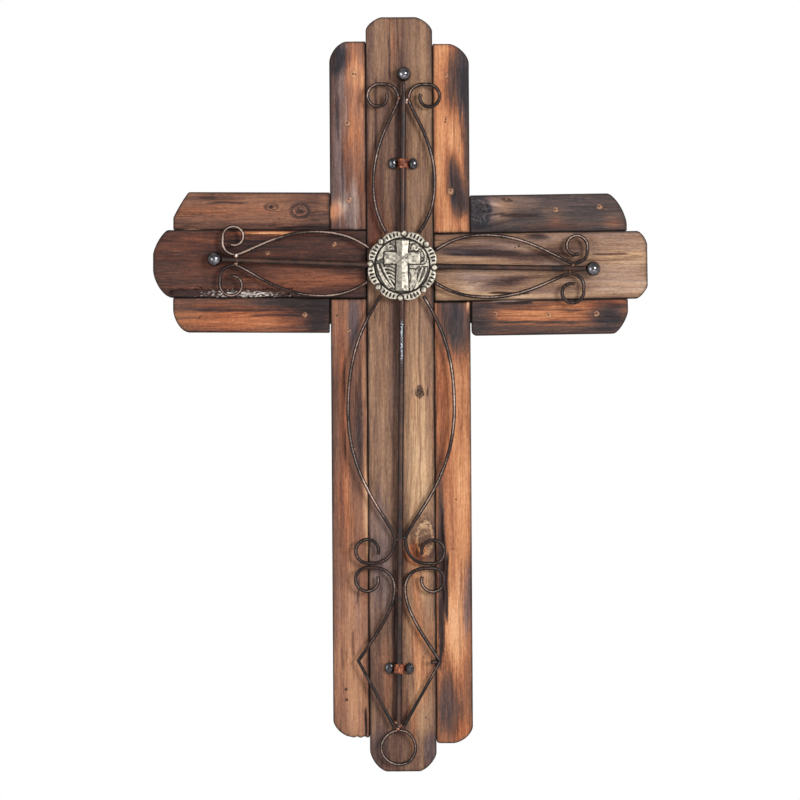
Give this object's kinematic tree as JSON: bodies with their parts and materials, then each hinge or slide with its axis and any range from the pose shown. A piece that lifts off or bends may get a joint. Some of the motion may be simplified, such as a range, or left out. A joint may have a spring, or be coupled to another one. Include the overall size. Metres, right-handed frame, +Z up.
{
  "type": "wall cross",
  "caption": "Rustic wall cross of torched, butted boards on a thin backing, with scrolled iron wires, steel balls, nailed straps, a ring and a round cast concho.",
  "frame": {"origin": "middle of the hanger's flat back face, on the upright's centre line, where the cross meets the wall", "axes": "+Z up along the upright, +Y into the wall, +X to the viewer's right; the decorated face looks along -Y"},
  "size_m": [0.4002, 0.0392, 0.61],
  "materials": {
    "weathered_wood": "grey-brown tan softwood, stained, with burnt edges and dark grain",
    "dark_wood": "dark reddish brown stained softwood with burnt edges",
    "torched_wood": "orange-brown torched softwood fading into black burns at the edges",
    "charred_wood": "mostly charred black-grey softwood",
    "plain_backing": "plain unfinished plywood",
    "hanger_steel": "zinc plated",
    "dark_iron": "dark brown-black iron with a rust tint and bright wear",
    "ball_steel": "polished dark steel",
    "rusty_strap": "rust-orange iron",
    "black_nail": "glossy blackened steel",
    "old_silver": "antique silver casting with dark patina in its hollows"
  },
  "bodies": {
    "root": {"upright_centre_board": "weathered_wood", "upright_upper_left_board": "dark_wood", "upright_upper_right_board": "torched_wood", "upright_lower_left_board": "weathered_wood", "upright_lower_right_board": "torched_wood", "arm_left_middle_board": "dark_wood", "arm_left_top_board": "torched_wood", "arm_left_bottom_board": "torched_wood", "arm_right_middle_board": "weathered_wood", "arm_right_top_board": "charred_wood", "arm_right_bottom_board": "torched_wood", "backing_cross": "plain_backing", "wall_hanger": "hanger_steel", "upright_rod": "dark_iron", "left_rod": "dark_iron", "right_rod": "dark_iron", "top_ball": "ball_steel", "left_ball": "ball_steel", "right_ball": "ball_steel", "bottom_ring": "dark_iron", "scroll_top_left": "dark_iron", "scroll_top_right": "dark_iron", "scroll_left_upper": "dark_iron", "scroll_left_lower": "dark_iron", "scroll_right_upper": "dark_iron", "scroll_right_lower": "dark_iron", "long_scroll_left": "dark_iron", "long_scroll_right": "dark_iron", "tail_scroll_left": "dark_iron", "tail_scroll_right": "dark_iron", "upper_strap": "rusty_strap", "lower_strap": "rusty_strap", "upper_left_nail": "black_nail", "upper_right_nail": "black_nail", "lower_left_nail": "black_nail", "lower_right_nail": "black_nail", "concho": "old_silver"}
  },
  "joints": []
}
